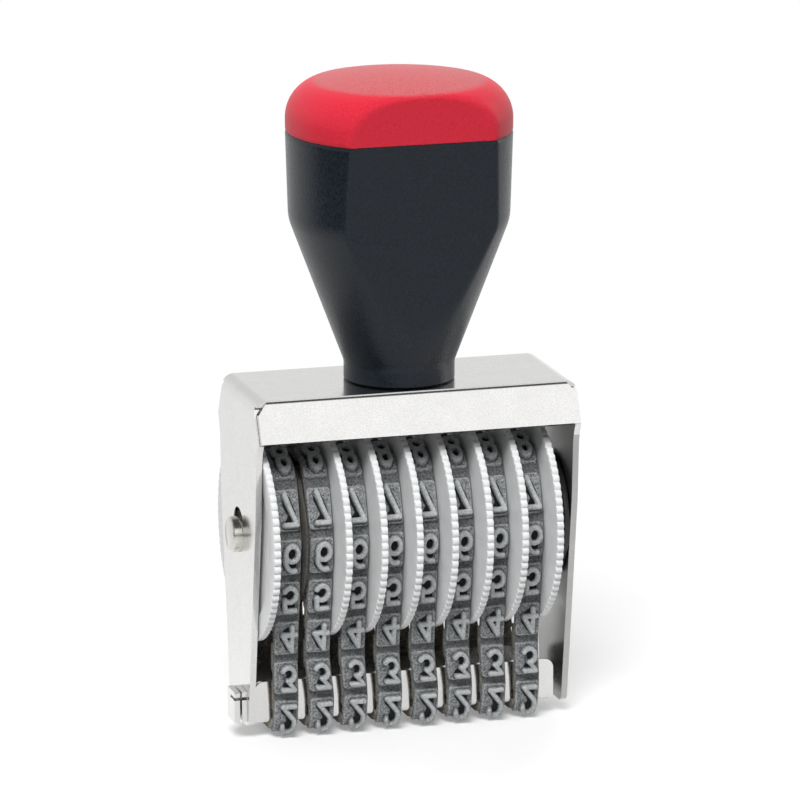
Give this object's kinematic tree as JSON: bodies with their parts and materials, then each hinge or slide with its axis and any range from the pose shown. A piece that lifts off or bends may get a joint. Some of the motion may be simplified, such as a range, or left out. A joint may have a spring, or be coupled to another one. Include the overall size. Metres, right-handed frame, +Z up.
{
  "type": "numbering machine",
  "caption": "Hand numbering stamp: toothed setting wheels turn endless rubber type belts round a bridge in a bent steel housing under a capped plastic grip.",
  "frame": {"origin": "bottom centre of the bounding box, on the plane of the printing type faces, under the middle of the axle", "axes": "+X along the axle, from the lug end of the bridge to its plain end; -Y is the front that the user sees; +Z up through the grip"},
  "size_m": [0.052, 0.0312, 0.0957],
  "materials": {
    "grip_plastic": "fine moulded texture, satin",
    "cap_plastic": "fine moulded texture, satin",
    "nickel": "bright nickel plate on sheet steel",
    "turned_steel": "turned, plated",
    "wheel_plastic": "white moulded plastic",
    "type_rubber": "matt grey vulcanised rubber, dusty",
    "divider_fibre": "thin hard fibre",
    "spacer_plastic": "black moulded plastic"
  },
  "bodies": {
    "frame": {"housing": "nickel", "bridge": "nickel", "axle": "turned_steel", "belt_divider": "divider_fibre", "end_spacer": "spacer_plastic", "grip": "grip_plastic", "cap": "cap_plastic", "grip_screw": "turned_steel", "belt_1": "type_rubber", "belt_2": "type_rubber", "belt_3": "type_rubber", "belt_4": "type_rubber", "belt_5": "type_rubber", "belt_6": "type_rubber", "belt_7": "type_rubber", "belt_8": "type_rubber"},
    "setting_wheel_1": {"wheel_1": "wheel_plastic"},
    "setting_wheel_2": {"wheel_2": "wheel_plastic"},
    "setting_wheel_3": {"wheel_3": "wheel_plastic"},
    "setting_wheel_4": {"wheel_4": "wheel_plastic"},
    "setting_wheel_5": {"wheel_5": "wheel_plastic"},
    "setting_wheel_6": {"wheel_6": "wheel_plastic"},
    "setting_wheel_7": {"wheel_7": "wheel_plastic"},
    "setting_wheel_8": {"wheel_8": "wheel_plastic"}
  },
  "joints": [
    {"name": "wheel_1_turn", "type": "hinge", "parent": "frame", "child": "setting_wheel_1", "pos_m": [0, 0, 0.02959], "axis": [1, 0, 0], "continuous": true, "deforming": ["belt_1"]},
    {"name": "wheel_2_turn", "type": "hinge", "parent": "frame", "child": "setting_wheel_2", "pos_m": [0, 0, 0.02959], "axis": [1, 0, 0], "continuous": true, "deforming": ["belt_2"]},
    {"name": "wheel_3_turn", "type": "hinge", "parent": "frame", "child": "setting_wheel_3", "pos_m": [0, 0, 0.02959], "axis": [1, 0, 0], "continuous": true, "deforming": ["belt_3"]},
    {"name": "wheel_4_turn", "type": "hinge", "parent": "frame", "child": "setting_wheel_4", "pos_m": [0, 0, 0.02959], "axis": [1, 0, 0], "continuous": true, "deforming": ["belt_4"]},
    {"name": "wheel_5_turn", "type": "hinge", "parent": "frame", "child": "setting_wheel_5", "pos_m": [0, 0, 0.02959], "axis": [1, 0, 0], "continuous": true, "deforming": ["belt_5"]},
    {"name": "wheel_6_turn", "type": "hinge", "parent": "frame", "child": "setting_wheel_6", "pos_m": [0, 0, 0.02959], "axis": [1, 0, 0], "continuous": true, "deforming": ["belt_6"]},
    {"name": "wheel_7_turn", "type": "hinge", "parent": "frame", "child": "setting_wheel_7", "pos_m": [0, 0, 0.02959], "axis": [1, 0, 0], "continuous": true, "deforming": ["belt_7"]},
    {"name": "wheel_8_turn", "type": "hinge", "parent": "frame", "child": "setting_wheel_8", "pos_m": [0, 0, 0.02959], "axis": [1, 0, 0], "continuous": true, "deforming": ["belt_8"]}
  ]
}
